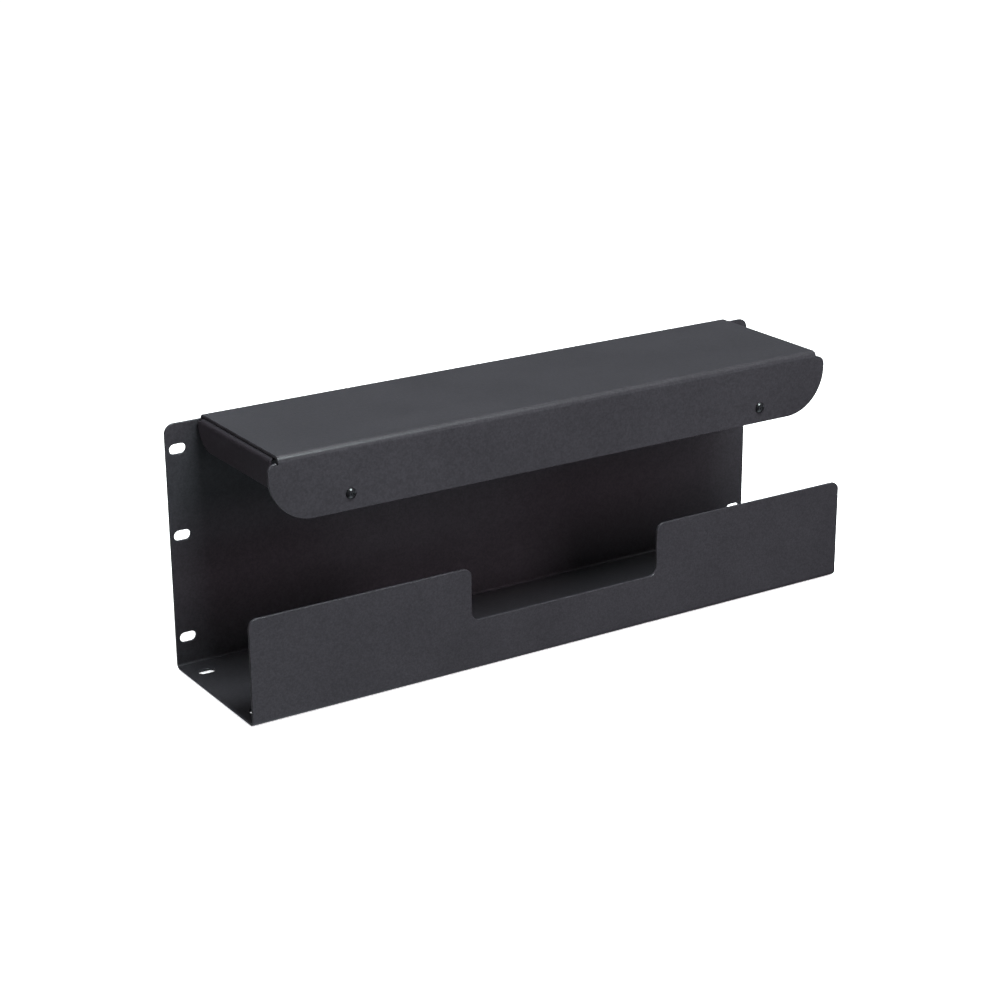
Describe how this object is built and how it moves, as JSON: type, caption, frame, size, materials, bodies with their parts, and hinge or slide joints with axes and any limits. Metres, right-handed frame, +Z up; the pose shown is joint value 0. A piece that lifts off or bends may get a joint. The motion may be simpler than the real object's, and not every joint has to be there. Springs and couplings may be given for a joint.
{
  "type": "cable tray",
  "caption": "Folded sheet-steel cable tray: slotted back panel, floor and notched front lip, with a folded hood whose front flange has rounded ears, over an inner bracket.",
  "frame": {"origin": "middle of the footprint, on the underside of the floor, at the centre of the bounding box's bottom face", "axes": "+X to the right along the tray as seen from the front, +Y to the rear, out of the back panel's mounting face, +Z up"},
  "size_m": [0.4826, 0.116, 0.177],
  "materials": {
    "tray_coating": "fine-texture anthracite powder coat, satin, on 2 mm steel sheet",
    "hood_coating": "fine-texture anthracite powder coat, satin, on 2 mm steel sheet",
    "bracket_coating": "fine-texture anthracite powder coat, satin, on 2 mm steel sheet",
    "black_screw": "black oxide, semi-gloss",
    "zinc_nut": "clear zinc plating"
  },
  "bodies": {
    "tray": {"tray_body": "tray_coating", "hood": "hood_coating", "inner_bracket": "bracket_coating", "clinch_nut_left": "zinc_nut", "clinch_nut_right": "zinc_nut"},
    "screw_left": {"screw_left": "black_screw"},
    "screw_right": {"screw_right": "black_screw"}
  },
  "joints": [
    {"name": "screw_left_turn", "type": "hinge", "parent": "tray", "child": "screw_left", "pos_m": [-0.16515, -0.05577, 0.1438], "axis": [0, -1, 0], "range_deg": [0, 2700]},
    {"name": "screw_right_turn", "type": "hinge", "parent": "tray", "child": "screw_right", "pos_m": [0.16515, -0.05577, 0.1438], "axis": [0, -1, 0], "range_deg": [0, 2700]}
  ]
}
